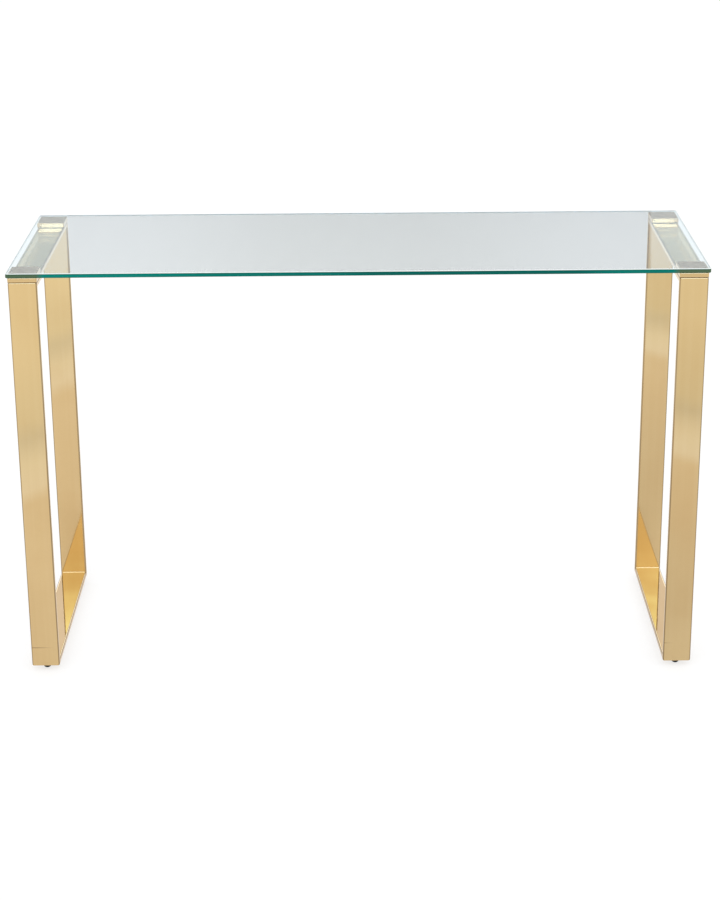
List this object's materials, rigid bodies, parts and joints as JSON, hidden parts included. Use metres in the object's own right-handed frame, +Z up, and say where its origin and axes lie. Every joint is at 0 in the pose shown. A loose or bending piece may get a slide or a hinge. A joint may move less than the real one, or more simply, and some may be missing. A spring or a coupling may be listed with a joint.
{
  "type": "glass console table",
  "caption": "Rectangular glass-topped console table on two closed loops of polished gold flat tube, standing on small domed levelling feet.",
  "frame": {"origin": "on the floor under the middle of the top, with the feet screwed right in", "axes": "+X along the top's length, +Y from the front edge to the back edge, +Z up"},
  "size_m": [1.2, 0.4, 0.75],
  "materials": {
    "clear_glass": "clear toughened glass, ground and polished edge that looks deep green end-on",
    "gold_tube": "mirror-polished stainless steel tube with a pale gold vapour-deposited coating",
    "gold_pad": "mirror-polished steel plate with the same pale gold coating",
    "pad_bond": "taupe-grey cured adhesive film, matt",
    "black_glide": "moulded black plastic, satin",
    "zinc_steel": "zinc-plated steel",
    "screw_steel": "yellow-passivated steel screw"
  },
  "bodies": {
    "table": {"glass_top": "clear_glass", "pad_front_left": "gold_pad", "pad_front_right": "gold_pad", "pad_rear_left": "gold_pad", "pad_rear_right": "gold_pad", "pad_bond_front_left": "pad_bond", "pad_bond_front_right": "pad_bond", "pad_bond_rear_left": "pad_bond", "pad_bond_rear_right": "pad_bond", "left_top_rail": "gold_tube", "left_front_leg": "gold_tube", "left_rear_leg": "gold_tube", "left_front_heel": "gold_tube", "left_rear_heel": "gold_tube", "left_runner": "gold_tube", "right_top_rail": "gold_tube", "right_front_leg": "gold_tube", "right_rear_leg": "gold_tube", "right_front_heel": "gold_tube", "right_rear_heel": "gold_tube", "right_runner": "gold_tube", "foot_bush_front_left": "zinc_steel", "foot_bush_front_right": "zinc_steel", "foot_bush_rear_left": "zinc_steel", "foot_bush_rear_right": "zinc_steel", "pad_screws": "screw_steel"},
    "foot_front_left": {"foot_glide_front_left": "black_glide", "foot_stud_front_left": "zinc_steel"},
    "foot_front_right": {"foot_glide_front_right": "black_glide", "foot_stud_front_right": "zinc_steel"},
    "foot_rear_left": {"foot_glide_rear_left": "black_glide", "foot_stud_rear_left": "zinc_steel"},
    "foot_rear_right": {"foot_glide_rear_right": "black_glide", "foot_stud_rear_right": "zinc_steel"}
  },
  "joints": [
    {"name": "foot_front_left_screw", "type": "slide", "parent": "table", "child": "foot_front_left", "axis": [0, 0, -1], "range_m": [0, 0.004]},
    {"name": "foot_front_right_screw", "type": "slide", "parent": "table", "child": "foot_front_right", "axis": [0, 0, -1], "range_m": [0, 0.004]},
    {"name": "foot_rear_left_screw", "type": "slide", "parent": "table", "child": "foot_rear_left", "axis": [0, 0, -1], "range_m": [0, 0.004]},
    {"name": "foot_rear_right_screw", "type": "slide", "parent": "table", "child": "foot_rear_right", "axis": [0, 0, -1], "range_m": [0, 0.004]}
  ]
}
